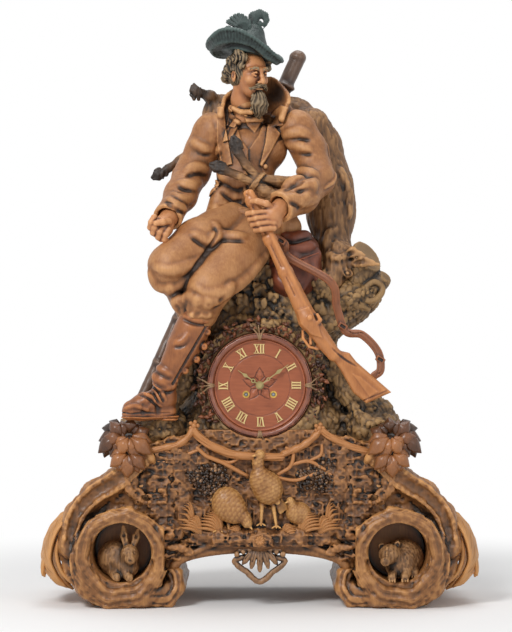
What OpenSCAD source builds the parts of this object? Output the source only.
// Carved wooden mantel clock: a hunter with rifle and game sits on a tree trunk that holds
// the dial, above a rocaille base whose two scrolled feet shelter a hare and a badger.
// Millimetres. +Z up, the dial faces -Y, X runs to the viewer's right.
// The origin lies under the middle of the base, on the surface that the clock stands on.

/* [Base] */
// Distance of each burrow's centre from the tips of the outer leaves
scroll_inset = 129; // [122:1:136]
// Height of each burrow's centre above the table
scroll_z = 88; // [84:1:94]
// Radius of the burrow that holds the animal
burrow_r = 47; // [44:1:50]
// Outer radius of the scroll around the burrow
scroll_r = 75; // [71:1:79]
// Depth of the burrow
burrow_depth = 84; // [76:1:92]
// Height of the base where the trunk stands on it
base_h = 279; // [272:1:286]
// Depth of the whole clock from the scroll fronts to the door knob
clock_d = 290; // [282:1:300]
// Half the width of the arch between the feet
arch_half_w = 128; // [118:1:134]
// Height of the arch's crown
arch_h = 84; // [76:1:90]
// Half the width over the outer acanthus leaves
base_half_w = 346; // [338:1:356]

/* [Trunk] */
// Height of the seat above the base
trunk_h = 304; // [296:1:313]
// Height of the dial's centre above the base
dial_rise = 70; // [66:1:76]
// Radius of the round bore that holds the movement
movement_bore_r = 53; // [52:1:56]

/* [Dial] */
// Radius of the wooden dial
dial_r = 74; // [70:1:78]
// Thickness of the wooden dial
dial_t = 6; // [5:0.5:8]
// Width of the turned bezel around the dial
bezel_w = 8; // [6:0.5:11]
// Radius of the circle through the numerals' middles
numeral_ring_r = 58; // [55:1:60]
// Height of a numeral
numeral_h = 15; // [12:1:17]
// Length of the minute hand from its axis
minute_hand_l = 56; // [48:1:62]
// Length of the hour hand from its axis
hour_hand_l = 42; // [34:1:46]
// Minutes shown
shown_minutes = 9; // [0:1:59]
// Hours shown
shown_hours = 10; // [1:1:12]

/* [Movement] */
// Radius of the two round movement plates
plate_r = 44; // [43.5:0.5:46]
// Thickness of each movement plate
plate_t = 2.5; // [2:0.25:3]
// Distance between the two plates
plate_gap = 36; // [36:0.5:38]
// Half the distance between the two winding squares
winding_x = 21.7; // [21.4:0.1:22]
// Drop of the winding squares below the hands' axis
winding_drop = 14.6; // [14:0.2:15.2]
// Length of the pendulum from its bend to the middle of the bob
pendulum_l = 158; // [150:1:162]
// Radius of the pendulum bob
bob_r = 17; // [14:1:19]
// Radius of the striking bell
bell_r = 31; // [27:1:34]

/* [Back] */
// Width of the back door
door_w = 130; // [124:1:136]
// Thickness of the back door
door_t = 7; // [6:0.5:9]

/* [Hidden] */

eps = 0.01;
seat_gap = 0.3;          // between pieces that rest on each other
pivot_clearance = 0.06;  // radial, between a pivot and its hole
side_shake = 0.6;        // end play of wheels, hands and arbors

// Planes along Y, from the front
back_y = clock_d / 2 - 5;        // flat back of the base and trunk
front_y = -clock_d / 2;          // front of the scrolls
panel_y = front_y + 50;          // ground of the carved panel
dial_back_y = front_y + 65;      // the trunk's flat that carries the dial
dial_front_y = dial_back_y - dial_t;
front_plate_y = dial_back_y + 12;
gear_front_y = front_plate_y + plate_t;
back_plate_y = gear_front_y + plate_gap;
gear_back_y = back_plate_y + plate_t;
dial_z = base_h + dial_rise;
seat_z = base_h + trunk_h;
scroll_x = base_half_w - scroll_inset;

// Case
joint_x = 150;           // glue line between the base block and each foot
joint_z = 60;            // top of the feet's inner curls
case_half_w = 60;        // half width of the hollow behind the movement
case_top = dial_z + 74;
case_bottom = dial_z - 164;
rebate = 9;              // how far the door overlaps the hollow's edge

// Point or number part of the way from one to another
function mix(a, b, t) = a + (b - a) * t;

// Shapes that repeat

module ball(p, r, n = 8) {
    translate(p) sphere(r = r, $fn = n);
}

// Tapering rounded limb through points given as [position, radius]
module limb(joints, n = 8) {
    for (i = [0 : len(joints) - 2])
        hull() {
            ball(joints[i][0], joints[i][1], n);
            ball(joints[i + 1][0], joints[i + 1][1], n);
        }
}

// Ball stretched to three radii and turned
module egg(p, radii, turn = [0, 0, 0], n = 10) {
    translate(p) rotate(turn) scale(radii) sphere(r = 1, $fn = n);
}

// Horizontal slice of the trunk
module slice(x0, x1, y0, y1, z, n = 16) {
    translate([(x0 + x1) / 2, (y0 + y1) / 2, z])
        scale([(x1 - x0) / 2, (y1 - y0) / 2, 1])
            cylinder(r = 1, h = 1, $fn = n);
}

// Cylinder along Y between two depths
module rod_y(x, z, r, y0, y1, n = 48) {
    translate([x, y1, z]) rotate([90, 0, 0]) cylinder(r = r, h = y1 - y0, $fn = n);
}

module cone_y(x, z, r0, r1, y0, y1, n = 48) {
    translate([x, y1, z]) rotate([90, 0, 0]) cylinder(r1 = r1, r2 = r0, h = y1 - y0, $fn = n);
}

// Outline in X and Z, extruded between two depths
module slab(y0, y1) {
    translate([0, y1, 0]) rotate([90, 0, 0]) linear_extrude(y1 - y0) children();
}

// Pointed blade of a leaf: a flat lens from its root to its tip
module blade(root, tip, w, t) {
    hull() {
        ball(root, t, 5);
        egg(mix(root, tip, 0.45), [w, t, w], n = 6);
        ball(tip, t * 0.6, 4);
    }
}

// Tube swept through points with a radius at each, as one closed skin
function unit(v) = v / norm(v);
function tangent(p, i) =
    unit(p[min(i + 1, len(p) - 1)] - p[max(i - 1, 0)]);
function side_of(t) = unit(cross(t, abs(t[1]) < 0.9 ? [0, 1, 0] : [1, 0, 0]));
function ring_points(c, t, r, flat, n) = let (u = side_of(t), v = cross(t, u))
    [for (k = [0 : n - 1]) c + r * cos(360 * k / n) * u + r * flat * sin(360 * k / n) * v];

module sweep(p, radii, n = 8, flat = 1) {
    rings = [for (i = [0 : len(p) - 1]) ring_points(p[i], tangent(p, i), radii[i], flat, n)];
    points = [for (r = rings) each r];
    last = (len(p) - 1) * n;
    sides = [for (i = [0 : len(p) - 2], k = [0 : n - 1], half = [0, 1])
        let (a = i * n + k, b = i * n + (k + 1) % n)
        half == 0 ? [a, b + n, b] : [a, a + n, b + n]];
    caps = [[for (k = [0 : n - 1]) k], [for (k = [n - 1 : -1 : 0]) last + k]];
    polyhedron(points, concat(sides, caps), convexity = 6);
}

// Gear teeth in the way of clockwork: radial flanks below the pitch circle, curved faces above
function polar(r, a) = [r * cos(a), r * sin(a)];

// Wheel that drives a pinion: the face of a tooth is an epicycloid of the pinion's half circle
function wheel_points(teeth, m, leaves) = let (
    r = teeth * m / 2, roll = leaves * m / 4, half = 90 / teeth * 0.92,
    rise = 1.1 * m, drop = 1.5 * m,
    turn = 2 * asin(sqrt((pow(r + rise, 2) - r * r) / (4 * roll * (r + roll)))),
    lean = turn * roll / r - atan2(roll * sin(turn), r + roll - roll * cos(turn)))
    [for (k = [0 : teeth - 1]) let (a = 360 * k / teeth)
        each [polar(r - drop, a - half), polar(r, a - half), polar(r + rise, a - half + lean),
            polar(r + rise, a + half - lean), polar(r, a + half), polar(r - drop, a + half)]];

// Leaves of a pinion: thin, radial, with a short rounded tip
function pinion_points(leaves, m) = let (
    r = leaves * m / 2, half = 90 / leaves * 0.68, rise = 0.62 * m, drop = 1.35 * m)
    [for (k = [0 : leaves - 1]) let (a = 360 * k / leaves)
        each [polar(r - drop, a - half * 0.9), polar(r, a - half),
            polar(r + rise * 0.7, a - half * 0.6), polar(r + rise, a),
            polar(r + rise * 0.7, a + half * 0.6), polar(r, a + half),
            polar(r - drop, a + half * 0.9)]];

// A gear in the plane of the dial, centred at x and z, with one tooth or gap turned to an angle
module gear(x, z, points, y0, y1, turned) {
    translate([x, y1, z]) rotate([90, 0, 0]) rotate(turned) linear_extrude(y1 - y0) polygon(points);
}

// Train numbers: teeth, leaves and modules
barrel_teeth = 84;
centre_leaves = 12;
centre_teeth = 80;
third_leaves = 8;
third_teeth = 75;
escape_leaves = 6;
escape_teeth = 36;
cannon_teeth = 12;
minute_wheel_teeth = 36;
minute_pinion_teeth = 10;
hour_teeth = 40;
pin_wheel_leaves = 12;
pin_wheel_teeth = 54;
fly_leaves = 8;

winding_dist = norm([winding_x, winding_drop]);
barrel_m = 2 * winding_dist / (barrel_teeth + centre_leaves);
centre_m = 0.42;
third_m = 0.38;
motion_m = 0.8;
motion_dist = (cannon_teeth + minute_wheel_teeth) * motion_m / 2;
hour_m = 2 * motion_dist / (minute_pinion_teeth + hour_teeth);
pin_wheel_m = 0.4;

// Places of the arbors in the plane of the dial
centre_at = [0, dial_z];
time_at = centre_at + [winding_x, -winding_drop];
strike_at = centre_at + [-winding_x, -winding_drop];
third_dir = 123;
third_at = centre_at + polar((centre_teeth + third_leaves) * centre_m / 2, third_dir);
escape_dist = (third_teeth + escape_leaves) * third_m / 2;
escape_dir = acos(-(third_at - centre_at)[0] / escape_dist);
escape_at = third_at + polar(escape_dist, escape_dir);
escape_r = 9.4;
pallet_at = escape_at + [0, 12.6];
minute_dir = 135;
minute_at = centre_at + polar(motion_dist, minute_dir);
pin_dir = 100;
pin_at = strike_at + polar(winding_dist, pin_dir);
fly_dir = 110;
fly_at = pin_at + polar((pin_wheel_teeth + fly_leaves) * pin_wheel_m / 2, fly_dir);

// Angle that puts a gap of the second gear where a tooth of the first one meets it
function mesh_turn(first_teeth, first_turn, second_teeth, dir) =
    let (phase = (dir - first_turn) * first_teeth / 360)
    dir + 180 - (0.5 - (phase - floor(phase))) * 360 / second_teeth;

// Base

function arch_points(w, h, foot) = concat([[w, foot - 1]],
    [for (a = [0 : 12 : 180]) [w * cos(a), foot + (h - foot) * sin(a)]], [[-w, foot - 1]]);

module case_hollow() {
    translate([-case_half_w, back_plate_y, case_bottom])
        cube([2 * case_half_w, back_y - back_plate_y + 1, case_top - case_bottom]);
}

module door_rebate() {
    translate([-door_w / 2 - 1, back_y - door_t, case_bottom - rebate - 1])
        cube([door_w + 2, door_t + 1, case_top - case_bottom + 2 * rebate + 2]);
}

// Room in front of the flat that carries the dial and its bezel
module dial_seat() {
    rod_y(0, dial_z, dial_r + bezel_w + 2, front_y - 60, dial_back_y, 48);
}

// Straight block with the arch and the hollow for the pendulum
module block_form() {
    difference() {
        slab(panel_y, back_y) difference() {
            polygon([[-joint_x, joint_z], [joint_x, joint_z], [joint_x, base_h - 17],
                [90, base_h], [-90, base_h], [-joint_x, base_h - 17]]);
            polygon(arch_points(arch_half_w, arch_h, joint_z));
        }
        case_hollow();
        door_rebate();
        dowel_holes();
        dial_seat();
    }
}

// Moulded rim of the arch, rocky ground under the birds and rock up both sides of the panel
module carving_form() {
    n = 8;
    difference() {
        union() {
            limb([for (i = [0 : n]) let (a = 8 + 164 * i / n)
                [[(arch_half_w + 8) * cos(a), panel_y - 1, joint_z + (arch_h + 7 - joint_z) * sin(a)], 7.5]], 6);
            limb([[[-95, panel_y + 2, arch_h + 28], 13], [[95, panel_y + 2, arch_h + 28], 13]]);
            for (s = [-1, 1])
                limb([[[s * 120, panel_y + 4, 150], 16], [[s * 128, panel_y + 6, 235], 15]]);
        }
        dial_seat();
        translate([-400, -400, 0]) cube([800, 800, joint_z]);
        for (s = [0, 1]) mirror([s, 0, 0]) translate([joint_x, -400, 0]) cube([200, 800, 400]);
    }
}

module base_block_form() {
    block_form();
    carving_form();
}

module base_block() {
    color("saddlebrown") block_form();
}

module panel_carving() {
    color("saddlebrown") difference() {
        carving_form();
        block_form();
    }
}

// Blind dowels across the glue lines: base block to feet, and base block to trunk
dowel_r = 6;
dowel_l = 50;
side_dowels = [[0, 110], [60, 200]];
top_dowels = [[-80, 40], [80, 40]];

module dowels(r, l) {
    for (s = [-1, 1], p = side_dowels)
        translate([s * joint_x - l / 2, p[0], p[1]]) rotate([0, 90, 0]) cylinder(r = r, h = l, $fn = 32);
    for (p = top_dowels)
        translate([p[0], p[1], base_h - l / 2]) cylinder(r = r, h = l, $fn = 32);
}

module dowel_holes() {
    dowels(dowel_r + 0.1, dowel_l + 1);
}

module case_dowels() {
    color("burlywood") dowels(dowel_r, dowel_l);
}

// Outline of the right foot in X and Z, behind the scroll
foot_outline = [
    [joint_x, joint_z], [joint_x, base_h - 17], [198, base_h - 19], [226, base_h - 52],
    [base_half_w - 84, base_h - 88], [base_half_w - 52, base_h - 116], [base_half_w - 30, base_h - 150],
    [base_half_w - 24, 96], [base_half_w - 38, 46], [base_half_w - 62, 14], [base_half_w - 84, 0],
    [arch_half_w + 14, 0], [arch_half_w - 6, 8],
    [arch_half_w - 10, 30], [arch_half_w, joint_z]
];
foot_back_y = back_y - 30;

module foot_form() {
    difference() {
        union() {
            slab(panel_y - 4, foot_back_y) polygon(foot_outline);
            // Scroll around the burrow
            rod_y(scroll_x + 8, scroll_z - 14, scroll_r, front_y + 12, foot_back_y - 30, 28);
            translate([scroll_x + 2, front_y + 14, scroll_z - 6]) rotate([90, 0, 0])
                rotate_extrude($fn = 24) translate([burrow_r + 10, 0]) circle(r = 14, $fn = 6);
            // Long C-scroll from the leaves to the foot's outside
            limb([[[184, panel_y - 8, base_h - 40], 17], [[224, panel_y - 4, base_h - 78], 17],
                [[base_half_w - 84, panel_y - 2, base_h - 102], 18],
                [[base_half_w - 56, panel_y - 4, base_h - 136], 18],
                [[base_half_w - 48, panel_y - 10, 96], 18]], 8);
            // Lower roll of the foot
            limb([[[268, front_y + 30, 34], 22], [[232, front_y + 26, 20], 20],
                [[186, front_y + 28, 20], 20], [[150, panel_y - 10, 26], 18]], 6);
            // Inner curl beside the arch
            limb([[[arch_half_w + 8, panel_y - 6, 24], 16], [[arch_half_w + 6, panel_y - 4, 50], 12]], 6);
        }
        // The burrow is blind
        rod_y(scroll_x, scroll_z, burrow_r, front_y - 1, front_y + burrow_depth, 28);
        dowel_holes();
        translate([0, -400, -100]) cube([800, 800, 100]);
        translate([0, -400, joint_z]) cube([joint_x, 800, 400]);
        translate([0, -400, 0]) cube([800, front_y + 400, 400]);
    }
}

module scroll_foot_right() {
    color("peru") foot_form();
}

module scroll_foot_left() {
    color("peru") mirror([1, 0, 0]) foot_form();
}

// Long leaves wrapped round the outside of each foot: how far in from the widest point,
// how far back, and how high each one starts
acanthus_rows = [[0, 2, 160], [-1, 38, 150], [6, 76, 140]];

module acanthus_form() {
    difference() {
        for (row = acanthus_rows) let (x = base_half_w - row[0], y = panel_y + row[1], z = row[2])
            limb([[[x - 45, y + 10, z], 8], [[x - 18, y + 5, z - 34], 11], [[x - 11, y, z - 74], 11],
                [[x - 26, y, z - 118], 6]], 6);
        foot_form();
    }
}

module acanthus_leaves() {
    color("sienna") for (s = [0, 1]) mirror([s, 0, 0]) acanthus_form();
}

// Vine leaves where a foot meets the trunk: root, tip and half width of each leaf
leaf_root = [206, panel_y - 18, base_h - 22];
leaf_tips = [
    [[-34, -14, 22], 15], [[2, -20, 34], 15], [[36, -10, 20], 16], [[48, 4, -8], 15],
    [[30, -16, -42], 15], [[-6, -24, -52], 16], [[-36, -12, -26], 15], [[40, 26, 26], 14],
    [[30, 34, -20], 14]
];

module leaf_cluster_form() {
    difference() {
        union() {
            ball(leaf_root, 15, 8);
            for (leaf = leaf_tips)
                blade(leaf_root + leaf[0] * 0.2, leaf_root + leaf[0], leaf[1], 4);
        }
        foot_form();
        trunk_form();
        translate([0, -400, 0]) cube([800, front_y + 400, 400]);
    }
}

module leaf_cluster_right() {
    color("chocolate") leaf_cluster_form();
}

module leaf_cluster_left() {
    color("chocolate") difference() {
        mirror([1, 0, 0]) leaf_cluster_form();
        trunk_form();
        mirror([1, 0, 0]) foot_form();
        gaiter_form();
    }
}

// Shell that hangs from the arch
module apron_pendant() {
    color("darkkhaki") difference() {
        union() {
            for (i = [-3 : 3])
                blade([i, panel_y - 4, arch_h + 14], [12 * i, panel_y - 11, arch_h - 38 + 8 * abs(i)], 6, 3.5);
            ball([0, panel_y - 9, arch_h + 10], 11);
        }
        base_block_form();
    }
}

// Bent twigs that hang across the panel under the dial
garland_y = panel_y - 12;

module twig_garland() {
    color("peru") difference() {
        for (s = [-1, 1]) {
            limb([[[s * 2, garland_y, base_h - 30], 6], [[s * 34, garland_y - 3, base_h - 24], 6],
                [[s * 66, garland_y - 1, base_h - 6], 6.5], [[s * 88, garland_y + 7, base_h + 14], 6]], 6);
            limb([[[s * 92, garland_y + 4, base_h + 8], 5.5], [[s * 120, garland_y, base_h - 22], 6],
                [[s * 152, garland_y, base_h - 34], 5]], 6);
            limb([[[s * 20, panel_y - 2, base_h - 56], 4], [[s * 42, panel_y - 3, base_h - 48], 5],
                [[s * 74, panel_y - 3, base_h - 36], 5], [[s * 104, panel_y - 2, base_h - 44], 4]], 6);
        }
        base_block_form();
        trunk_form();
        bird_standing_form();
    }
}

// Animals

// The hare crouches in the left burrow, the badger in the right one
floor_z = scroll_z - burrow_r;
animal_y = front_y + 46;

module hare() {
    x = -scroll_x;
    y = animal_y;
    color("tan") difference() {
        union() {
            egg([x - 10, y + 6, floor_z + 34], [29, 26, 28]);
            egg([x + 6, y - 12, floor_z + 22], [20, 18, 18], n = 10);
            egg([x + 12, y - 22, floor_z + 44], [15, 16, 18], n = 10);
            limb([[[x + 6, y - 16, floor_z + 56], 5], [[x + 3, y - 12, floor_z + 74], 4],
                [[x + 2, y - 10, floor_z + 84], 2.5]], 6);
            limb([[[x + 16, y - 16, floor_z + 56], 5], [[x + 21, y - 11, floor_z + 72], 4],
                [[x + 24, y - 9, floor_z + 78], 2.5]], 6);
            limb([[[x + 4, y - 22, floor_z + 14], 8], [[x + 12, y - 30, floor_z + 9], 6]], 8);
            limb([[[x - 12, y - 10, floor_z + 14], 9], [[x - 8, y - 26, floor_z + 8.5], 6]], 8);
        }
        mirror([1, 0, 0]) foot_form();
    }
}

module badger() {
    x = scroll_x;
    y = animal_y;
    color("tan") difference() {
        union() {
            egg([x + 10, y + 6, floor_z + 34], [32, 28, 31]);
            egg([x + 6, y - 10, floor_z + 26], [24, 20, 22], n = 10);
            egg([x - 12, y - 20, floor_z + 42], [19, 18, 17], n = 10);
            egg([x - 20, y - 32, floor_z + 34], [10, 13, 9], n = 8);
            ball([x - 24, y - 14, floor_z + 57], 5, 6);
            ball([x + 1, y - 14, floor_z + 59], 5, 6);
            limb([[[x + 14, y - 20, floor_z + 18], 10], [[x + 10, y - 32, floor_z + 9], 6]], 8);
            limb([[[x - 6, y - 18, floor_z + 16], 9], [[x - 10, y - 32, floor_z + 9], 6]], 8);
            limb([[[x + 24, y, floor_z + 18], 12], [[x + 26, y - 16, floor_z + 14], 7]], 8);
        }
        foot_form();
    }
}

// A partridge: body, breast, neck, head, tail, bill and the two legs
module bird(body, breast, neck, head, tail, bill, legs, size) {
    egg(body, [22, 17, 25] * size, [0, -24, 0], 10);
    egg(breast, [15, 14, 17] * size, n = 8);
    limb([[breast, 11 * size], [neck, 7.5 * size], [head, 7.5 * size]], 8);
    blade(body, tail, 11 * size, 5 * size);
    blade(head, bill, 3, 2.5);
    for (leg = legs) limb([[leg[0], 5], [leg[1], 3.2]], 6);
}

bird_ground = arch_h + 28;

// A point at the front of the panel, from its ground up
function on_panel(x, y, z) = [x, panel_y + y, bird_ground + z];

module bird_standing_form() {
    bird(on_panel(12, -14, 76), on_panel(0, -20, 90), on_panel(-3, -20, 116), on_panel(0, -22, 129),
        on_panel(38, -8, 40), on_panel(-12, -30, 127),
        [[on_panel(4, -12, 58), on_panel(2, -14, 20)], [on_panel(20, -12, 56), on_panel(26, -14, 16)]],
        1.1);
}

module bird_feeding_form() {
    bird(on_panel(-50, -18, 50), on_panel(-38, -22, 40), on_panel(-24, -24, 30), on_panel(-20, -26, 22),
        on_panel(-72, -10, 62), on_panel(-12, -30, 12),
        [[on_panel(-50, -14, 30), on_panel(-48, -16, 8)], [on_panel(-62, -14, 34), on_panel(-66, -16, 10)]],
        1.15);
}

module bird_resting_form() {
    bird(on_panel(64, -10, 34), on_panel(54, -14, 36), on_panel(50, -17, 50), on_panel(48, -19, 56),
        on_panel(88, -6, 22), on_panel(40, -26, 53),
        [[on_panel(58, -10, 24), on_panel(52, -14, 6)], [on_panel(70, -10, 24), on_panel(72, -14, 4)]],
        0.8);
}

module bird_standing() {
    color("goldenrod") difference() {
        bird_standing_form();
        base_block_form();
    }
}

module bird_feeding() {
    color("goldenrod") difference() {
        bird_feeding_form();
        base_block_form();
        bird_standing_form();
    }
}

module bird_resting() {
    color("goldenrod") difference() {
        bird_resting_form();
        base_block_form();
        bird_standing_form();
    }
}

// Trunk

// Slices of the trunk as [left, right, front, back, height]
function trunk_slices() = [
    [-172, 176, panel_y + 1, back_y - 12, base_h - 24],
    [-150, 188, panel_y + 2, back_y - 8, base_h + 14],
    [-122, 150, panel_y + 10, back_y - 4, base_h + 48],
    [-108, 122, panel_y + 12, back_y - 2, dial_z + 22],
    [-102, 120, panel_y + 16, back_y - 4, dial_z + 60],
    [-98, 132, panel_y + 34, back_y - 16, seat_z - 128],
    [-86, 150, panel_y + 44, back_y - 26, seat_z - 86],
    [-66, 118, panel_y + 52, back_y - 36, seat_z - 26],
    [-54, 92, panel_y + 66, back_y - 48, seat_z]
];

// Slice of the trunk at a height, and a point of its skin in front (-1) or behind (1)
function trunk_at(z) = let (s = trunk_slices(), i = max([for (k = [0 : len(s) - 2]) if (k == 0 || s[k][4] <= z) k]))
    mix(s[i], s[i + 1], (z - s[i][4]) / (s[i + 1][4] - s[i][4]));
function on_trunk(p, side) = let (s = trunk_at(p[1]), middle = (s[0] + s[1]) / 2,
    u = (p[0] - middle) / (s[1] - middle))
    [p[0], (s[2] + s[3] + side * (s[3] - s[2]) * sqrt(max(0, 1 - u * u))) / 2, p[1]];

// Roots that run down the trunk: side, radius, and the places of each in X and Z
trunk_roots = [
    [-1, 11, [[64, seat_z - 27], [98, seat_z - 83], [118, seat_z - 131], [114, dial_z + 51],
        [132, dial_z + 3], [170, base_h + 27]]],
    [-1, 11, [[-58, seat_z - 43], [-76, seat_z - 113], [-94, dial_z + 71], [-102, dial_z + 21],
        [-140, base_h + 25]]],
    [1, 11, [[92, seat_z - 23], [100, seat_z - 83], [104, dial_z + 91], [112, dial_z + 31], [140, base_h + 21]]],
    [1, 11, [[-48, seat_z - 23], [-70, seat_z - 83], [-88, dial_z + 91], [-98, dial_z + 31], [-130, base_h + 21]]],
    [1, 10, [[44, seat_z - 11], [36, seat_z - 71], [46, seat_z - 129]]],
    [1, 10, [[-8, seat_z - 7], [-16, seat_z - 63], [-28, seat_z - 127]]]
];

module trunk_raw() {
    for (root = trunk_roots)
        limb([for (p = root[2]) [on_trunk(p, root[0]), root[1]]], 6);
    s = trunk_slices();
    for (i = [0 : len(s) - 2]) hull() {
        slice(s[i][0], s[i][1], s[i][2], s[i][3], s[i][4]);
        slice(s[i + 1][0], s[i + 1][1], s[i + 1][2], s[i + 1][3], s[i + 1][4]);
    }
    // Boss around the dial
    cone_y(0, dial_z, dial_r + bezel_w + 8, dial_r + bezel_w + 26, dial_back_y, dial_back_y + 50, 32);
    // Flat frame around the back door
    translate([-door_w / 2 - 20, 30, base_h]) cube([door_w + 40, back_y - 30, case_top + 18 - base_h]);
    // Ledge of roots on the right, under the game
    limb([[[100, -10, seat_z - 132], 40], [[150, -12, seat_z - 100], 34], [[172, -14, seat_z - 92], 26]]);
    // Rock under the shoe and under the butt of the rifle
    egg([-168, panel_y + 56, base_h - 2], [60, 62, 36]);
    egg([180, panel_y + 48, base_h + 2], [46, 54, 40]);
}

module trunk_form() {
    difference() {
        trunk_raw();
        dial_seat();
        // Bore for the movement
        rod_y(0, dial_z, movement_bore_r, front_y - 60, back_plate_y + 1, 48);
        case_hollow();
        door_rebate();
        dowel_holes();
        base_block_form();
        foot_form();
        mirror([1, 0, 0]) foot_form();
        translate([-400, back_y, 0]) cube([800, 200, 900]);
    }
}

module trunk() {
    color("darkolivegreen") difference() {
        trunk_form();
        legs_form();
        torso_form();
        gaiter_form();
        stub_form();
        deer_form();
        bag_form();
        staff_form();
        rifle_form();
        sling_form();
    }
}

// Sawn and broken branches on the right of the trunk
stub_root = [150, -6, seat_z - 96];
stub_face = [176, -24, seat_z - 20];

module stub_form() {
    limb([[stub_root, 26], [[166, -12, seat_z - 56], 22], [stub_face, 24]]);
    limb([[stub_root + [8, 0, -4], 20], [[186, -14, seat_z - 76], 17], [[198, -16, seat_z - 66], 15]], 8);
    limb([[[158, -30, seat_z - 92], 6], [[174, -36, seat_z - 98], 6], [[190, -34, seat_z - 90], 6],
        [[196, -30, seat_z - 78], 5], [[188, -28, seat_z - 68], 4]], 6);
}

module branch_stub() {
    color("rosybrown") difference() {
        stub_form();
        deer_form();
        bag_form();
    }
}

// Dial, hands and bezel

module ring_y(r0, r1, y0, y1) {
    translate([0, y1, dial_z]) rotate([90, 0, 0]) rotate_extrude($fn = 96)
        translate([r0, 0]) square([r1 - r0, y1 - y0]);
}

// Turned ring with an inner lip that holds the dial and a rounded outer bead
module bezel() {
    bead = bezel_w / 2 + 0.5;
    color("sienna") union() {
        ring_y(dial_r + seat_gap, dial_r + bezel_w, dial_front_y - 4, dial_back_y);
        ring_y(dial_r - 2.5, dial_r + bezel_w / 2, dial_front_y - 4, dial_front_y);
        translate([0, dial_front_y - 4, dial_z]) rotate([90, 0, 0]) rotate_extrude($fn = 96)
            translate([dial_r + bezel_w / 2, 0]) circle(r = bead, $fn = 24);
    }
}

module dial() {
    color("indianred") difference() {
        rod_y(0, dial_z, dial_r, dial_front_y, dial_back_y, 96);
        rod_y(0, dial_z, pipe_r + 1, dial_front_y - 1, dial_back_y + 1);
        for (p = [time_at, strike_at])
            rod_y(p[0], p[1], collet_r, dial_front_y - 1, dial_back_y + 1);
        ring_y(dial_r - 6, dial_r - 4.5, dial_front_y - 1, dial_front_y + 0.6);
    }
}

collet_r = 4.4;
winding_square = 3.4;

module winding_collets() {
    color("gold") for (p = [time_at, strike_at]) difference() {
        union() {
            rod_y(p[0], p[1], collet_r, dial_front_y, dial_back_y);
            rod_y(p[0], p[1], collet_r + 1.2, dial_front_y - 0.8, dial_front_y);
        }
        rod_y(p[0], p[1], collet_r - 1.2, dial_front_y - 2, dial_back_y + 1);
    }
}

// Roman numerals as strokes: [offset at the foot, offset at the head, width]
thin = 1.1;
thick = 2.2;
one = [[0, 0, thick]];
five = [[-0.6, -3.2, thick], [0.6, 3.2, thin]];
ten = [[3, -3, thick], [-3, 3, thin]];
function shift(strokes, dx) = [for (s = strokes) [s[0] + dx, s[1] + dx, s[2]]];
function ones(n, dx, step = 4.2) = [for (i = [0 : n - 1]) [dx + i * step, dx + i * step, thick]];
roman = [
    concat(shift(ten, -5), ones(2, 1.5)), ones(1, 0), ones(2, -2.1), ones(3, -4.2), ones(4, -6.3),
    five, concat(shift(five, -3), ones(1, 3)), concat(shift(five, -5), ones(2, 1)),
    concat(shift(five, -7), ones(3, -1)), concat(ones(1, -5), shift(ten, 1)), ten,
    concat(shift(ten, -2), ones(1, 4.4))
];

module stroke(s) {
    polygon([[s[0] - s[2] / 2, 0], [s[0] + s[2] / 2, 0], [s[1] + s[2] / 2, numeral_h],
        [s[1] - s[2] / 2, numeral_h]]);
}

module numerals() {
    color("ivory") for (hour = [0 : 11])
        translate([0, dial_front_y, dial_z]) rotate([0, 30 * hour, 0])
            translate([0, 0, numeral_ring_r - numeral_h / 2]) rotate([90, 0, 0]) linear_extrude(1.6) {
                for (s = roman[hour]) stroke(s);
                numeral_bars(roman[hour]);
            }
}

// Serifs joined into one bar at the foot and one at the head
module numeral_bars(strokes) {
    foot = [for (s = strokes) s[0]];
    head = [for (s = strokes) s[1]];
    translate([min(foot) - 2, 0]) square([max(foot) - min(foot) + 4, 0.9]);
    translate([min(head) - 2, numeral_h - 0.9]) square([max(head) - min(head) + 4, 0.9]);
}

minute_turn = 6 * shown_minutes;
hour_turn = 30 * shown_hours + shown_minutes / 2;
arbor_r = 1.5;
cannon_r = 2.6;
pipe_r = 3.8;
hour_hand_y = dial_front_y - 4;
minute_hand_y = hour_hand_y - 3;
hand_t = 1.4;

// Pierced leaf-shaped hand on a round boss
module hand_outline(length, boss, hole) {
    difference() {
        union() {
            circle(r = boss, $fn = 32);
            polygon([[-1, 0], [1, 0], [0.9, length * 0.55], [3.2, length * 0.66], [0.6, length * 0.8],
                [0.5, length], [-0.5, length], [-0.6, length * 0.8], [-3.2, length * 0.66],
                [-0.9, length * 0.55]]);
            translate([0, length * 0.3]) circle(r = boss * 0.55, $fn = 24);
        }
        circle(r = hole, $fn = 32);
        translate([0, length * 0.3]) circle(r = boss * 0.28, $fn = 16);
    }
}

module hour_hand() {
    color("khaki") translate([0, hour_hand_y + hand_t, dial_z]) rotate([0, hour_turn, 0])
        rotate([90, 0, 0]) linear_extrude(hand_t) hand_outline(hour_hand_l, 6.5, pipe_r);
}

module minute_hand() {
    color("khaki") union() {
        translate([0, minute_hand_y + hand_t, dial_z]) rotate([0, minute_turn, 0])
            rotate([90, 0, 0]) linear_extrude(hand_t) hand_outline(minute_hand_l, 5, cannon_r);
        // Cap over the cannon's end
        difference() {
            rod_y(0, dial_z, cannon_r + 1, minute_hand_y - 2.2, minute_hand_y + 0.5);
            rod_y(0, dial_z, cannon_r, minute_hand_y, minute_hand_y + 1);
            rod_y(0, dial_z, arbor_r + pivot_clearance, minute_hand_y - 1, minute_hand_y + 1);
        }
    }
}

// Movement

module plate_shape() {
    circle(r = plate_r, $fn = 96);
}

// Hole for a pivot through a plate
module pivot_hole(p, r, y) {
    rod_y(p[0], p[1], r + pivot_clearance, y - 1, y + plate_t + 1);
}

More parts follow.
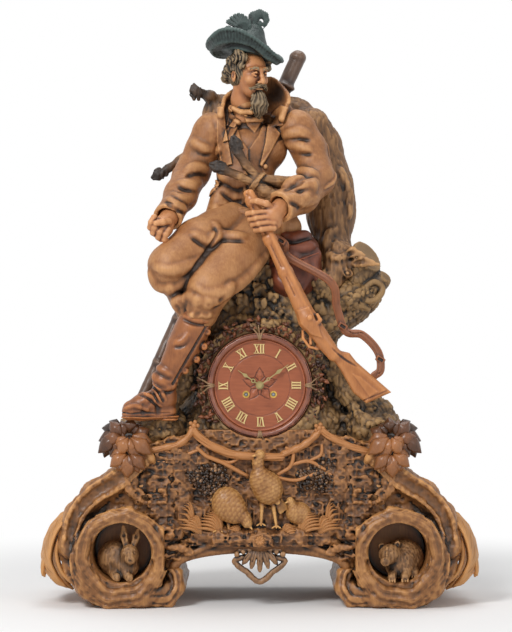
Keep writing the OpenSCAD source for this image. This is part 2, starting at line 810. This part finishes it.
pillar_places = [for (a = [15, 62, 118, 270]) centre_at + polar(plate_r - 5, a)];
foot_places = [for (a = [90, 205, 335]) centre_at + polar(plate_r - 6, a)];
pivot_r = 0.7;
winding_arbor_r = 2.6;
ratchet_r = 6.5;

module front_plate() {
    color("gold") difference() {
        union() {
            rod_y(0, dial_z, plate_r, front_plate_y, gear_front_y, 96);
            // Feet that carry the movement behind the dial
            for (p = foot_places) rod_y(p[0], p[1], 2.4, dial_back_y, front_plate_y + 1);
            // Clicks beside the winding ratchets
            for (s = [-1, 1]) {
                rod_y(s * (winding_x + 10), time_at[1] + 3, 1.6, front_plate_y - 3, front_plate_y + 1);
                rod_y(s * (winding_x + 8.4), time_at[1] + 1, 1.2, front_plate_y - 3, front_plate_y - 1);
            }
        }
        pivot_hole(centre_at, arbor_r, front_plate_y);
        for (p = [time_at, strike_at]) pivot_hole(p, winding_arbor_r, front_plate_y);
        for (p = [third_at, escape_at, pallet_at, pin_at, fly_at, minute_at, hammer_at])
            pivot_hole(p, pivot_r, front_plate_y);
    }
}

module back_plate() {
    color("gold") difference() {
        union() {
            rod_y(0, dial_z, plate_r, back_plate_y, gear_back_y, 96);
            // Cock that carries the suspension
            translate([-10, gear_back_y - 1, pallet_at[1] - 6]) cube([20, 3, 15]);
            translate([-10, gear_back_y - 1, pallet_at[1] + 5]) cube([20, 14, 4]);
        }
        pivot_hole(centre_at, pivot_r, back_plate_y);
        for (p = [time_at, strike_at]) pivot_hole(p, winding_arbor_r, back_plate_y);
        for (p = [third_at, escape_at, pin_at, fly_at, hammer_at]) pivot_hole(p, pivot_r, back_plate_y);
        rod_y(pallet_at[0], pallet_at[1], 2.4, back_plate_y - 1, gear_back_y + 4);
    }
}

module plate_pillars() {
    color("darkgoldenrod") for (p = pillar_places) union() {
        rod_y(p[0], p[1], 2.2, gear_front_y, back_plate_y);
        rod_y(p[0], p[1], 3.2, gear_front_y + plate_gap / 2 - 3, gear_front_y + plate_gap / 2 + 3);
    }
}

// Arbor between the plates with a thin pivot at each end
module arbor(p, r = 1.1) {
    rod_y(p[0], p[1], r, gear_front_y + side_shake / 2, back_plate_y - side_shake / 2);
    rod_y(p[0], p[1], pivot_r, front_plate_y + 0.2, gear_back_y - 0.2);
}

time_wheel_y = gear_front_y + 2.6;
strike_wheel_y = time_wheel_y + 3.2;
centre_wheel_y = back_plate_y - 9;
third_wheel_y = back_plate_y - 5;
pin_wheel_y = back_plate_y - 12.2;
drum_r = 17.4;
drum_back_y = back_plate_y - 13.4;
wheel_t = 1.6;

barrel_turned = 0;
centre_pinion_turned = mesh_turn(barrel_teeth, barrel_turned, centre_leaves,
    atan2(winding_drop, -winding_x));
centre_turned = 0;
third_pinion_turned = mesh_turn(centre_teeth, centre_turned, third_leaves, third_dir);
third_turned = 0;
escape_pinion_turned = mesh_turn(third_teeth, third_turned, escape_leaves, escape_dir);

// Spring barrel with its great wheel, which turns on the winding arbor
module barrel(p, wheel_y) {
    difference() {
        union() {
            gear(p[0], p[1], wheel_points(barrel_teeth, barrel_m, centre_leaves), wheel_y,
                wheel_y + wheel_t, barrel_turned);
            rod_y(p[0], p[1], drum_r, wheel_y + wheel_t / 2, drum_back_y);
            rod_y(p[0], p[1], 4.2, gear_front_y + side_shake / 2, back_plate_y - side_shake / 2);
        }
        rod_y(p[0], p[1], winding_arbor_r + pivot_clearance, gear_front_y - 1, back_plate_y + 1);
    }
}

module time_barrel() {
    color("goldenrod") barrel(time_at, time_wheel_y);
}

module strike_barrel() {
    color("goldenrod") barrel(strike_at, strike_wheel_y);
}

// Winding arbor with its square and ratchet wheel
ratchet_teeth = 18;

module winding_arbor(p) {
    union() {
        rod_y(p[0], p[1], winding_arbor_r, front_plate_y - 3, gear_back_y - 0.2);
        gear(p[0], p[1], [for (k = [0 : ratchet_teeth - 1]) let (a = 360 * k / ratchet_teeth)
            each [polar(ratchet_r, a), polar(ratchet_r - 1.2, a + 2)]],
            front_plate_y - 3, front_plate_y - 1, 0);
        translate([p[0] - winding_square / 2, dial_front_y - 2, p[1] - winding_square / 2])
            cube([winding_square, front_plate_y - dial_front_y, winding_square]);
    }
}

module time_winding_arbor() {
    color("silver") winding_arbor(time_at);
}

module strike_winding_arbor() {
    color("silver") winding_arbor(strike_at);
}

module centre_arbor() {
    color("silver") union() {
        rod_y(0, dial_z, arbor_r, minute_hand_y - 0.8, back_plate_y - side_shake / 2);
        rod_y(0, dial_z, pivot_r, back_plate_y - 1, gear_back_y - 0.2);
        gear(0, dial_z, pinion_points(centre_leaves, barrel_m), time_wheel_y - 0.8,
            time_wheel_y + wheel_t + 0.6, centre_pinion_turned);
        gear(0, dial_z, wheel_points(centre_teeth, centre_m, third_leaves), centre_wheel_y,
            centre_wheel_y + wheel_t, centre_turned);
    }
}

module third_arbor() {
    color("goldenrod") union() {
        arbor(third_at, 0.9);
        gear(third_at[0], third_at[1], pinion_points(third_leaves, centre_m), centre_wheel_y - 0.6,
            centre_wheel_y + wheel_t + 0.6, third_pinion_turned);
        gear(third_at[0], third_at[1], wheel_points(third_teeth, third_m, escape_leaves),
            third_wheel_y, third_wheel_y + wheel_t, third_turned);
    }
}

// Escape wheel with slanted, pointed teeth
function escape_points() = [for (k = [0 : escape_teeth - 1]) let (a = 360 * k / escape_teeth,
    step = 360 / escape_teeth)
    each [polar(escape_r - 1.6, a), polar(escape_r, a + step * 0.35), polar(escape_r - 1.6, a + step * 0.45)]];

escape_wheel_y = gear_front_y + 12;

module escape_arbor() {
    color("goldenrod") union() {
        arbor(escape_at, 0.6);
        gear(escape_at[0], escape_at[1], pinion_points(escape_leaves, third_m), third_wheel_y - 0.6,
            third_wheel_y + wheel_t + 0.6, escape_pinion_turned);
        gear(escape_at[0], escape_at[1], escape_points(), escape_wheel_y, escape_wheel_y + 1, 0);
    }
}

// Anchor above the escape wheel, on one arbor with the crutch behind the back plate
pallet_gap = 1.5;
crutch_y = gear_back_y + 3;

module pallets_and_crutch() {
    reach = escape_r + pallet_gap;
    color("lightgray") union() {
        rod_y(pallet_at[0], pallet_at[1], 1.1, gear_front_y + side_shake / 2, crutch_y + 2);
        rod_y(pallet_at[0], pallet_at[1], pivot_r, front_plate_y + 0.2, gear_front_y + 1);
        translate([0, escape_wheel_y + 1.5, escape_at[1]]) rotate([90, 0, 0]) linear_extrude(2)
            difference() {
                intersection() {
                    circle(r = reach + 2.2, $fn = 64);
                    polygon([[0, 0], polar(20, 48), polar(20, 132)]);
                }
                circle(r = reach, $fn = 64);
            }
        translate([0, escape_wheel_y + 1.5, pallet_at[1]]) rotate([90, 0, 0]) linear_extrude(2)
            translate([-1.5, -2]) square([3, 3]);
        // Crutch with its fork in front of the pendulum rod
        translate([-1.2, crutch_y, pallet_at[1] - 34]) cube([2.4, 2, 34]);
        for (s = [-1, 1]) translate([s > 0 ? 1.6 : -3.4, crutch_y, pallet_at[1] - 36])
            cube([1.8, 9, 4]);
        translate([-3.4, crutch_y, pallet_at[1] - 34]) cube([6.8, 2, 2]);
    }
}

pendulum_y = crutch_y + 5.4;

// Pendulum: suspension spring, rod, bob and rating nut
module pendulum() {
    top = pallet_at[1];
    color("gold") union() {
        translate([-3, pendulum_y - 0.15, top + 1]) cube([6, 0.3, 4 - seat_gap]);
        translate([-3, pendulum_y - 1, top - 3]) cube([6, 2, 4]);
        translate([0, pendulum_y, top - pendulum_l - bob_r - 8]) cylinder(r = 1.3, h = pendulum_l + bob_r + 6, $fn = 24);
        translate([0, 0, top - pendulum_l]) rotate([90, 0, 0]) translate([0, 0, -pendulum_y - 4])
            cylinder(r = bob_r, h = 8, $fn = 64);
        translate([0, pendulum_y, top - pendulum_l - bob_r - 5]) cylinder(r = 3.4, h = 3, $fn = 32);
    }
}

// Cannon pinion: a friction fit on the centre arbor that carries the minute hand
module cannon_pinion() {
    color("silver") difference() {
        union() {
            rod_y(0, dial_z, cannon_r, minute_hand_y, front_plate_y - side_shake);
            gear(0, dial_z, wheel_points(cannon_teeth, motion_m, minute_wheel_teeth),
                front_plate_y - 4.4, front_plate_y - 2, 15);
        }
        rod_y(0, dial_z, arbor_r + pivot_clearance, minute_hand_y - 2, front_plate_y + 1);
    }
}

minute_wheel_turned = mesh_turn(cannon_teeth, 15, minute_wheel_teeth, minute_dir);
hour_wheel_turned = mesh_turn(minute_pinion_teeth, 0, hour_teeth, minute_dir + 180);

// Minute wheel and its pinion on a stud of the front plate
module minute_work() {
    color("goldenrod") union() {
        gear(minute_at[0], minute_at[1], pinion_points(minute_wheel_teeth, motion_m),
            front_plate_y - 4.2, front_plate_y - 2.2, minute_wheel_turned);
        gear(minute_at[0], minute_at[1], pinion_points(minute_pinion_teeth, hour_m),
            front_plate_y - 9, front_plate_y - 4.2, 0);
        rod_y(minute_at[0], minute_at[1], 1.4, front_plate_y - 9.5, front_plate_y - side_shake);
        rod_y(minute_at[0], minute_at[1], pivot_r, front_plate_y - 1, gear_front_y - 0.3);
    }
}

module hour_wheel() {
    color("goldenrod") difference() {
        union() {
            gear(0, dial_z, wheel_points(hour_teeth, hour_m, minute_pinion_teeth),
                front_plate_y - 8, front_plate_y - 6.2, hour_wheel_turned);
            rod_y(0, dial_z, pipe_r, hour_hand_y, front_plate_y - 6.2);
        }
        rod_y(0, dial_z, cannon_r + pivot_clearance, hour_hand_y - 1, front_plate_y);
    }
}

pin_pinion_turned = mesh_turn(barrel_teeth, barrel_turned, pin_wheel_leaves, pin_dir);
fly_pinion_turned = mesh_turn(pin_wheel_teeth, 0, fly_leaves, fly_dir);

// Pin wheel that lifts the hammer
module pin_wheel_arbor() {
    color("goldenrod") union() {
        arbor(pin_at);
        gear(pin_at[0], pin_at[1], pinion_points(pin_wheel_leaves, barrel_m), strike_wheel_y - 0.6,
            strike_wheel_y + wheel_t + 0.6, pin_pinion_turned);
        gear(pin_at[0], pin_at[1], wheel_points(pin_wheel_teeth, pin_wheel_m, fly_leaves),
            pin_wheel_y, pin_wheel_y + wheel_t, 0);
        for (k = [0 : 7]) let (p = pin_at + polar(7.5, 45 * k))
            rod_y(p[0], p[1], 0.6, pin_wheel_y + wheel_t - 0.4, pin_wheel_y + 4, 16);
    }
}

// Fly: the air brake of the striking train
module fly_arbor() {
    color("silver") union() {
        arbor(fly_at, 0.8);
        gear(fly_at[0], fly_at[1], pinion_points(fly_leaves, pin_wheel_m), pin_wheel_y - 0.6,
            pin_wheel_y + wheel_t + 0.6, fly_pinion_turned);
        translate([fly_at[0] - 5.5, gear_front_y + 8, fly_at[1] - 0.4]) cube([11, 12, 0.8]);
    }
}

hammer_at = centre_at + [-38.5, 14.5];
bell_at = centre_at + [0, -26];
bell_y = gear_back_y + 24;
hammer_head = [bell_at[0] - bell_r - 9, bell_at[1] + 4];
bell_post = centre_at + polar(40, -25);

// Hammer: an arbor through both plates with its tail near the pins, and an arm beside the bell
module hammer() {
    color("lightgray") union() {
        rod_y(hammer_at[0], hammer_at[1], pivot_r, front_plate_y + 0.2, bell_y + 1);
        rod_y(hammer_at[0], hammer_at[1], 0.8, gear_front_y + side_shake / 2, back_plate_y - side_shake / 2);
        rod_y(hammer_at[0], hammer_at[1], 1.6, gear_back_y + side_shake, bell_y + 3);
        translate([hammer_at[0], pin_wheel_y + 2.4, hammer_at[1] - 0.6]) cube([2.2, 1.2, 1.2]);
        hull() {
            rod_y(hammer_at[0], hammer_at[1], 1.6, bell_y, bell_y + 3, 24);
            rod_y(hammer_head[0], hammer_head[1], 1.2, bell_y, bell_y + 3, 24);
        }
        translate([hammer_head[0] - 5, bell_y + 1.5, hammer_head[1]]) rotate([0, 90, 0])
            cylinder(r = 3.4, h = 10, $fn = 32);
    }
}

// Bell, open towards the plate, on a stand that reaches round it from the back plate
module bell() {
    color("darkkhaki") union() {
        translate([bell_at[0], bell_y, bell_at[1]]) rotate([-90, 0, 0]) rotate_extrude($fn = 96)
            polygon([[0, 12], [9, 12], [18, 9.5], [bell_r - 6, 5], [bell_r - 1.5, 0], [bell_r, -3],
                [bell_r - 2.2, -3], [bell_r - 4, 0], [bell_r - 8, 3], [17, 7], [9, 9.5], [0, 9.5]]);
        rod_y(bell_at[0], bell_at[1], 2.4, bell_y + 8, bell_y + 16);
        rod_y(bell_post[0], bell_post[1], 2.2, gear_back_y, bell_y + 16);
        hull() {
            rod_y(bell_at[0], bell_at[1], 3.4, bell_y + 13, bell_y + 15, 24);
            rod_y(bell_post[0], bell_post[1], 3.4, bell_y + 13, bell_y + 15, 24);
        }
    }
}

// Back door

hinge_x = -door_w / 2 - 1;
hinge_r = 2.3;
hinge_pin_r = 1.1;
hinge_y = back_y + hinge_r + 0.15;
hinge_zs = [case_bottom + 24, case_top - 24];
knuckle_h = 8;
leaf_h = 3 * knuckle_h;
leaf_w = 15;
leaf_t = 1.2;
knob_at = [door_w / 2 - 14, dial_z - 46];

module back_door() {
    color("burlywood") difference() {
        translate([-door_w / 2, back_y - door_t + seat_gap, case_bottom - rebate])
            cube([door_w, door_t - seat_gap, case_top - case_bottom + 2 * rebate]);
        rod_y(knob_at[0], knob_at[1], 2.5 + pivot_clearance, back_y - door_t - 1, back_y + 1);
    }
}

// Knuckles around the hinge line from one height to another
module knuckle(z0, z1, r) {
    translate([hinge_x, hinge_y, z0]) cylinder(r = r, h = z1 - z0, $fn = 32);
}

// The door's leaf carries the middle knuckle
module door_hinge_leaves() {
    color("gold") for (z = hinge_zs) difference() {
        union() {
            translate([hinge_x, back_y, z - leaf_h / 2]) cube([leaf_w, leaf_t, leaf_h]);
            knuckle(z - knuckle_h / 2 + 0.1, z + knuckle_h / 2 - 0.1, hinge_r);
        }
        knuckle(z + knuckle_h / 2 - 0.1, z + leaf_h, hinge_r + 0.4);
        knuckle(z - leaf_h, z - knuckle_h / 2 + 0.1, hinge_r + 0.4);
        knuckle(z - leaf_h, z + leaf_h, hinge_pin_r + pivot_clearance);
        translate([hinge_x - 4, back_y - 1, z - leaf_h]) cube([5.2, 1.15, 2 * leaf_h]);
    }
}

// The case's leaf carries the outer knuckles and the pin
module case_hinge_leaves() {
    color("gold") for (z = hinge_zs) union() {
        difference() {
            union() {
                translate([hinge_x - leaf_w, back_y, z - leaf_h / 2]) cube([leaf_w, leaf_t, leaf_h]);
                for (s = [0, 1]) mirror([0, 0, s]) translate([0, 0, s ? -2 * z : 0])
                    knuckle(z + knuckle_h / 2 + 0.1, z + leaf_h / 2, hinge_r);
            }
            knuckle(z - knuckle_h / 2 - 0.1, z + knuckle_h / 2 + 0.1, hinge_r + 0.4);
        }
        knuckle(z - leaf_h / 2, z + leaf_h / 2, hinge_pin_r);
    }
}

// Knob on a stem through the door, held by a nut inside
module door_knob() {
    color("goldenrod") union() {
        rod_y(knob_at[0], knob_at[1], 6, back_y, clock_d / 2);
        rod_y(knob_at[0], knob_at[1], 2.5, back_y - door_t - 1, back_y + 1);
        rod_y(knob_at[0], knob_at[1], 5, back_y - door_t - 2.2, back_y - door_t + seat_gap);
    }
}

// Hunter

shoe_z = base_h + 32;
chest = [-13, 15, seat_z + 148];
head_at = [-17, -5, seat_z + 268];
hand_l = [3, -112, seat_z + 29];
hand_r = [-157, -95, seat_z + 15];
knee_l = [-81, -107, seat_z - 80];
knee_r = [-141, -98, seat_z - 45];

module torso_form() {
    union() {
        hull() {
            egg([-26, -4, seat_z + 24], [50, 44, 30]);
            egg([-26, 8, seat_z + 72], [44, 36, 30]);
        }
        hull() {
            egg([-26, 8, seat_z + 72], [44, 36, 30]);
            egg(chest, [56, 40, 42]);
        }
        hull() {
            egg(chest, [56, 40, 42]);
            ball([-72, 20, seat_z + 184], 24);
        }
        hull() {
            egg(chest, [56, 40, 42]);
            ball([54, 18, seat_z + 186], 26);
        }
        hull() {
            ball([-72, 20, seat_z + 184], 24);
            ball([-20, 16, seat_z + 204], 22);
            ball([54, 18, seat_z + 186], 26);
        }
        // Neck with its turned-down collar
        limb([[[-20, 16, seat_z + 200], 26], [[-25, 10, seat_z + 222], 19]]);
        // Skirts of the jacket
        limb([[[-64, -16, seat_z + 70], 16], [[-72, -24, seat_z + 28], 18]]);
        limb([[[20, -14, seat_z + 70], 18], [[44, -20, seat_z + 22], 22]]);
    }
}

module legs_form() {
    limb([[[-48, -14, seat_z + 22], 40], [[-98, -58, seat_z - 8], 39], [knee_r, 35]]);
    limb([[[2, -14, seat_z + 16], 40], [[-40, -66, seat_z - 34], 40], [knee_l, 36]]);
    // Baggy ends of the breeches
    limb([[knee_l, 34], [[-93, -103, seat_z - 116], 29]]);
    limb([[knee_r, 32], [[-120, -64, seat_z - 92], 22], [[-100, -34, seat_z - 160], 17]]);
}

// Left lower leg in its buttoned gaiter, with the shoe
module gaiter_form() {
    top = [-95, -104, seat_z - 118];
    ankle = [-149, -106, shoe_z + 48];
    across = unit(cross(ankle - top, [0, 1, 0]));
    limb([[top, 27], [mix(top, ankle, 0.5), 24], [ankle, 18]]);
    limb([[ankle, 20], [[-152, -98, shoe_z + 18], 19], [[-186, -112, shoe_z + 10], 17],
        [[-204, -120, shoe_z + 4], 13]]);
    // Sole
    limb([[[-150, -98, shoe_z - 2], 14], [[-188, -114, shoe_z - 4], 13]]);
    // Side buttons
    for (t = [0.14 : 0.2 : 0.95]) ball(mix(top, ankle, t) + across * mix(22, 14, t) + [0, -10, 0], 6, 6);
}

module head_form() {
    egg(head_at, [27, 32, 36], [6, 0, 38]);
    egg(head_at + [-10, 8, 4], [27, 28, 32]);
    // Nose, beard and moustache
    egg(head_at + [20, -26, -8], [6, 7, 9], [0, 0, 38]);
    limb([[head_at + [16, -22, -26], 13], [head_at + [20, -26, -44], 11], [head_at + [25, -26, -62], 6]]);
    limb([[head_at + [-30, 4, 4], 8], [head_at + [-32, 8, -10], 8]], 8);
    limb([[head_at + [-6, 8, -26], 17], [head_at + [-8, 14, -46], 17]]);
    limb([[head_at + [6, -18, -18], 12], [head_at + [10, -22, -24], 12]], 8);
    limb([[head_at + [-22, 14, -4], 12], [head_at + [-16, 22, -14], 13]], 8);
}

// Felt hat: a sloping brim, turned up behind, under a tapered crown
hat_at = head_at + [-5, 2, 30];

module hat_form() {
    hull() {
        egg(hat_at + [-32, 2, 18], [28, 26, 6], [0, 24, 0]);
        egg(hat_at + [-6, 0, 6], [46, 40, 6], [0, 18, 0]);
    }
    hull() {
        egg(hat_at + [-6, 0, 6], [46, 40, 6], [0, 18, 0]);
        egg(hat_at + [38, -6, -12], [17, 18, 4], [0, 14, 0]);
    }
    hull() {
        egg(hat_at + [-8, 2, 14], [33, 31, 8], [0, 14, 0]);
        egg(hat_at + [4, 2, 42], [21, 18, 9], [0, 18, 0]);
    }
}

module plume_form() {
    base = hat_at + [6, 10, 44];
    limb([[base + [0, 0, -6], 6], [base + [2, 0, 10], 8], [base + [6, 0, 20], 8], [base + [18, 0, 21], 8],
        [base + [27, 0, 12], 6], [base + [25, 0, 4], 4]], 10);
    for (i = [0 : 4])
        blade(base + [-4, 0, -8], base + [-38 + 8 * i, 0, 4 + 5 * i], 6, 4);
}

module arm_r_form() {
    limb([[[-74, 22, seat_z + 180], 27], [[-92, 26, seat_z + 150], 27], [[-110, 22, seat_z + 112], 25],
        [[-128, -24, seat_z + 72], 24], [[-143, -66, seat_z + 40], 20]]);
    limb([[[-145, -72, seat_z + 36], 14], [hand_r, 17], [hand_r + [4, 6, -8], 15]]);
}

module arm_l_form() {
    limb([[[58, 16, seat_z + 184], 28], [[80, 8, seat_z + 150], 28], [[94, -14, seat_z + 98], 26],
        [[66, -62, seat_z + 68], 26], [[38, -92, seat_z + 50], 22]]);
    limb([[[34, -96, seat_z + 48], 14], [hand_l + [10, 4, 6], 17], [hand_l + [-6, -4, -4], 16]]);
}

// Rifle: fore-end and barrel, lock and wrist, butt
muzzle = [-18, -90, seat_z + 70];
lock_at = [76, -124, seat_z - 130];
wrist_at = [116, -124, base_h + 120];
butt_at = [186, -112, base_h + 60];

module rifle_form() {
    sweep([muzzle, mix(muzzle, lock_at, 0.3), mix(muzzle, lock_at, 0.6), lock_at, wrist_at,
        mix(wrist_at, butt_at, 0.5), butt_at], [11, 12, 13.5, 16, 12, 17, 21], 10, 0.72);
}

module rifle() {
    color("chocolate") union() {
        rifle_form();
        // Lock plate, hammer and trigger guard
        limb([[lock_at + [-8, -10, 22], 4], [lock_at + [12, -12, -14], 4]], 8);
        limb([[lock_at + [9, -4, 9], 4], [lock_at + [20, -4, 16], 4], [lock_at + [24, -4, 8], 3]], 8);
        limb([[lock_at + [-11, 0, -2], 3.2], [lock_at + [-22, 0, -15], 3.2], [lock_at + [-13, 0, -34], 3.2],
            [lock_at + [6, 0, -40], 3.2]], 6);
        // Steel butt plate
        limb([[butt_at + [16, 0, 14], 6], [butt_at + [-14, 0, -16], 6]], 8);
    }
}

// Leather sling that hangs behind the rifle
module sling_form() {
    upper = mix(muzzle, lock_at, 0.36);
    sweep([upper + [10, 14, 2], upper + [24, 18, -8], upper + [30, 24, -28], lock_at + [36, 24, 60],
        lock_at + [46, 28, 20], wrist_at + [20, 26, 36], wrist_at + [46, 20, 30], wrist_at + [70, 12, 4],
        wrist_at + [74, 6, -24], wrist_at + [64, 6, -34]],
        [6, 6, 6, 6.5, 7, 7, 7, 7, 6.5, 6], 8, 0.4);
}

module rifle_sling() {
    color("sienna") difference() {
        sling_form();
        rifle_form();
        arm_l_form();
        bag_form();
        deer_form();
    }
}

// Staff that passes behind the hunter's back: rounded head at the shoulder, shaft by the calf
staff_top = [64, 104, seat_z + 308];
staff_end = [-203, -4, base_h + 20];
staff_dir = unit(staff_top - staff_end);

module staff_form() {
    limb([[staff_top - staff_dir * 4, 14], [staff_top - staff_dir * 46, 12], [staff_top - staff_dir * 84, 11]]);
    sweep([staff_end, mix(staff_end, staff_top, 0.16), mix(staff_end, staff_top, 0.36)],
        [8, 9, 9], 10);
}

module staff() {
    color("dimgray") difference() {
        staff_form();
        deer_form();
        torso_form();
        legs_form();
        gaiter_form();
    }
}

// Deer slung over the shoulders, its head hanging on the right
module deer_form() {
    limb([[[-66, 84, seat_z + 218], 25], [[-14, 92, seat_z + 224], 29], [[58, 92, seat_z + 206], 33],
        [[98, 76, seat_z + 158], 38], [[112, 62, seat_z + 92], 42], [[118, 42, seat_z + 34], 36],
        [[122, 18, seat_z - 14], 24], [[130, 0, seat_z - 40], 22]]);
    // Head, muzzle and ears
    limb([[[132, -8, seat_z - 46], 21], [[112, -28, seat_z - 72], 15], [[99, -36, seat_z - 86], 9]]);
    limb([[[144, -14, seat_z - 34], 6], [[168, -22, seat_z - 30], 8], [[190, -26, seat_z - 30], 4]], 8);
    // Hind legs that stick out behind the hunter's right shoulder
    limb([[[-64, 78, seat_z + 222], 14], [[-82, 62, seat_z + 240], 12], [[-102, 54, seat_z + 246], 8]], 10);
    limb([[[-78, 78, seat_z + 176], 14], [[-128, 66, seat_z + 136], 12], [[-166, 56, seat_z + 110], 9]], 10);
    limb([[[-66, 84, seat_z + 218], 22], [[-78, 78, seat_z + 176], 16]], 10);
    // Tail
    ball([140, 60, seat_z + 92], 9, 8);
}

module foreleg_form() {
    tie = [-5, -62, seat_z + 96];
    limb([[[56, -34, seat_z + 90], 9], [tie + [10, 0, 4], 8], [tie, 8], [[-36, -64, seat_z + 142], 9],
        [[-42, -62, seat_z + 156], 6]], 8);
    limb([[[26, -62, seat_z + 60], 8], [tie + [4, -2, -6], 8], [[-66, -66, seat_z + 112], 7]], 8);
}

module deer() {
    color("burlywood") difference() {
        deer_form();
        torso_form();
        arm_r_form();
        arm_l_form();
        head_form();
        rifle_form();
    }
}

// Forelegs crossed and tied on the hunter's chest
module deer_forelegs() {
    color("burlywood") difference() {
        foreleg_form();
        torso_form();
        legs_form();
        arm_l_form();
        deer_form();
        bag_form();
        rifle_form();
    }
}

// Leather game bag on the hunter's left hip
module bag_form() {
    hull() {
        egg([56, -30, seat_z - 46], [44, 34, 50]);
        egg([60, -26, seat_z - 16], [36, 30, 28]);
    }
}

module game_bag() {
    color("maroon") difference() {
        union() {
            bag_form();
            limb([[[22, -58, seat_z - 22], 5], [[58, -62, seat_z - 26], 5], [[92, -46, seat_z - 30], 5]], 8);
            limb([[[24, -56, seat_z - 70], 4], [[60, -62, seat_z - 76], 4], [[90, -50, seat_z - 66], 4],
                [[98, -40, seat_z - 40], 4], [[92, -46, seat_z - 20], 4]], 8);
        }
        torso_form();
        legs_form();
        arm_l_form();
        deer_form();
        rifle_form();
    }
}

module hunter_torso() {
    color("peru") torso_form();
}

module hunter_legs() {
    color("burlywood") difference() {
        legs_form();
        torso_form();
        arm_r_form();
    }
}

module hunter_gaiter() {
    color("chocolate") difference() {
        gaiter_form();
        legs_form();
    }
}

module hunter_head() {
    color("sandybrown") difference() {
        head_form();
        torso_form();
    }
}

module hunter_right_arm() {
    color("peru") difference() {
        arm_r_form();
        torso_form();
    }
}

module hunter_left_arm() {
    color("peru") difference() {
        arm_l_form();
        torso_form();
        legs_form();
        rifle_form();
    }
}

module hat() {
    color("darkslategray") difference() {
        hat_form();
        head_form();
    }
}

module hat_plume() {
    color("darkslategray") difference() {
        plume_form();
        hat_form();
    }
}

base_block();
panel_carving();
scroll_foot_left();
scroll_foot_right();
acanthus_leaves();
leaf_cluster_left();
leaf_cluster_right();
apron_pendant();
twig_garland();
hare();
badger();
bird_standing();
bird_feeding();
bird_resting();
case_dowels();
trunk();
branch_stub();
bezel();
dial();
numerals();
winding_collets();
hunter_torso();
hunter_legs();
hunter_gaiter();
hunter_head();
hunter_right_arm();
hunter_left_arm();
hat();
hat_plume();
rifle();
rifle_sling();
staff();
deer();
deer_forelegs();
game_bag();
front_plate();
back_plate();
plate_pillars();
time_barrel();
time_winding_arbor();
strike_barrel();
strike_winding_arbor();
centre_arbor();
third_arbor();
escape_arbor();
pallets_and_crutch();
pendulum();
minute_work();
cannon_pinion();
hour_wheel();
minute_hand();
hour_hand();
pin_wheel_arbor();
fly_arbor();
hammer();
bell();
back_door();
door_hinge_leaves();
case_hinge_leaves();
door_knob();
